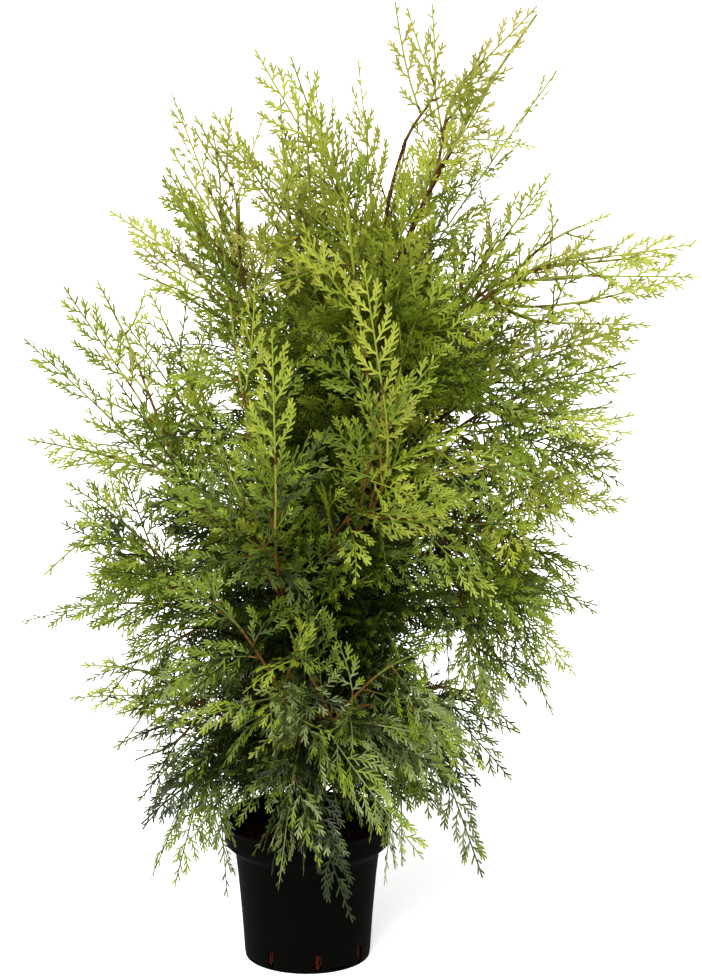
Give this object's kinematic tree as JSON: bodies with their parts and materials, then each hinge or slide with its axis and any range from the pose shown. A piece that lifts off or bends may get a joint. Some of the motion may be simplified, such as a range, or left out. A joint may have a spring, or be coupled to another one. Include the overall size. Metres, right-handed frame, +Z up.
{
  "type": "potted thuja",
  "caption": "Young thuja shrub in a black nursery pot: a leaning leader, rising boughs and loose fan-shaped plumes of scale foliage.",
  "frame": {"origin": "centre of the pot's flat underside, on the surface it stands on", "axes": "+Z up along the pot's axis, +X to the right and -Y towards the viewer of the plant's front"},
  "size_m": [0.7299, 0.4356, 1.058],
  "materials": {
    "pot": "black moulded polypropylene, slightly glossy",
    "compost": "moist crumbly peat compost",
    "bark": "red-brown fibrous young bark",
    "foliage": "waxy scale leaves, lime green at the tips and deep green inside"
  },
  "bodies": {
    "root": {"pot": "pot", "compost": "compost", "leader": "bark", "second_leader": "bark", "bough_right_high": "bark", "bough_right_mid": "bark", "bough_right_low": "bark", "bough_right_foot": "bark", "bough_left_high": "bark", "bough_left_arm": "bark", "bough_left_low": "bark", "bough_left_foot": "bark", "bough_front_left": "bark", "bough_front_right": "bark", "bough_front_low": "bark", "bough_back_high": "bark", "bough_back_left": "bark", "bough_back_right": "bark", "bough_back_low": "bark", "plume_right_arm": "foliage", "plume_right_crest": "foliage", "plume_right_arm_low": "foliage", "plume_right_side_high": "foliage", "plume_right_side": "foliage", "plume_right_side_low": "foliage", "plume_right_hem": "foliage", "plume_right_skirt_high": "foliage", "plume_right_skirt": "foliage", "plume_left_crest": "foliage", "plume_left_shoulder": "foliage", "plume_left_shoulder_high": "foliage", "plume_left_side_high": "foliage", "plume_left_arm": "foliage", "plume_left_arm_low": "foliage", "plume_left_side": "foliage", "plume_left_side_low": "foliage", "plume_left_hem": "foliage", "plume_left_skirt_high": "foliage", "plume_left_skirt": "foliage", "plume_front_left_shoot": "foliage", "plume_front_left_side": "foliage", "plume_front_right_shoot": "foliage", "plume_front_right_side": "foliage", "plume_front_left_low": "foliage", "plume_front_right_low": "foliage", "plume_front_left_skirt": "foliage", "plume_front_right_skirt": "foliage", "plume_back_crest": "foliage", "plume_back_shoulder_left": "foliage", "plume_back_shoulder_right": "foliage", "plume_back_left_high": "foliage", "plume_back_left_side": "foliage", "plume_back_right_high": "foliage", "plume_back_right_side": "foliage", "plume_back_left_low": "foliage", "plume_back_right_low": "foliage", "plume_top_crest": "foliage", "plume_top_arch": "foliage", "plume_leader_tuft": "foliage", "plume_second_tuft": "foliage"}
  },
  "joints": []
}
